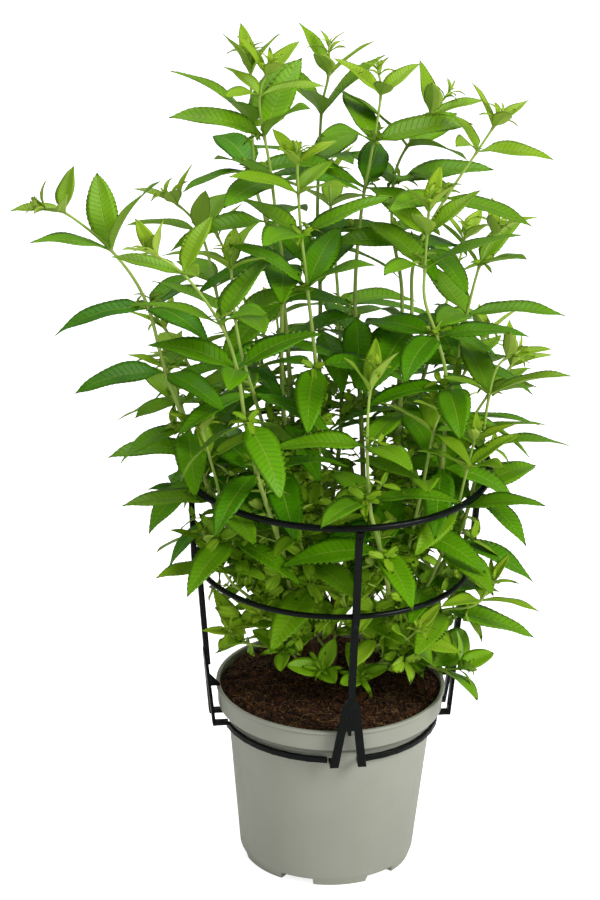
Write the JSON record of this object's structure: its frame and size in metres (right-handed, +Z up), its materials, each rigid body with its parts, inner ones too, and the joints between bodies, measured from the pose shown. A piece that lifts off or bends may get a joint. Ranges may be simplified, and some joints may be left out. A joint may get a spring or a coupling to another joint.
{
  "type": "potted lemon verbena",
  "caption": "Leafy lemon verbena plant in a plain round nursery pot with soil, standing inside a clip-on ring support cage.",
  "frame": {"origin": "centre of the pot's flat underside, on the surface it stands on", "axes": "+Z up along the pot's axis, -Y towards the front post of the support cage, +X to the right seen from the front"},
  "size_m": [0.4595, 0.4016, 0.7126],
  "materials": {
    "pot_plastic": "satin moulded polypropylene, pale grey",
    "cage_plastic": "glossy moulded plastic, very dark green",
    "soil": "moist peat and coir with light fibres",
    "bark": "smooth woody bark",
    "foliage": "soft satin leaf, veined"
  },
  "bodies": {
    "root": {"pot": "pot_plastic", "soil": "soil", "upper_ring": "cage_plastic", "middle_ring": "cage_plastic", "post_1": "cage_plastic", "post_2": "cage_plastic", "post_3": "cage_plastic", "post_4": "cage_plastic", "band_1": "cage_plastic", "band_2": "cage_plastic", "band_3": "cage_plastic", "band_4": "cage_plastic", "cane_1": "bark", "cane_2": "bark", "cane_3": "bark", "cane_4": "bark", "cane_5": "bark", "cane_6": "bark", "cane_7": "bark", "shoot_01": "foliage", "shoot_02": "foliage", "shoot_03": "foliage", "shoot_04": "foliage", "shoot_05": "foliage", "shoot_06": "foliage", "shoot_07": "foliage", "shoot_08": "foliage", "shoot_09": "foliage", "shoot_10": "foliage", "shoot_11": "foliage", "shoot_12": "foliage", "shoot_13": "foliage", "shoot_14": "foliage", "shoot_15": "foliage", "shoot_16": "foliage", "shoot_17": "foliage", "shoot_18": "foliage", "shoot_19": "foliage", "shoot_20": "foliage", "shoot_21": "foliage", "shoot_22": "foliage", "shoot_23": "foliage", "shoot_24": "foliage", "shoot_25": "foliage", "shoot_26": "foliage", "shoot_27": "foliage", "shoot_28": "foliage", "shoot_29": "foliage", "shoot_30": "foliage", "shoot_31": "foliage", "shoot_32": "foliage", "shoot_33": "foliage", "shoot_34": "foliage", "shoot_35": "foliage", "shoot_36": "foliage", "shoot_37": "foliage", "shoot_38": "foliage", "shoot_39": "foliage", "shoot_40": "foliage"}
  },
  "joints": []
}
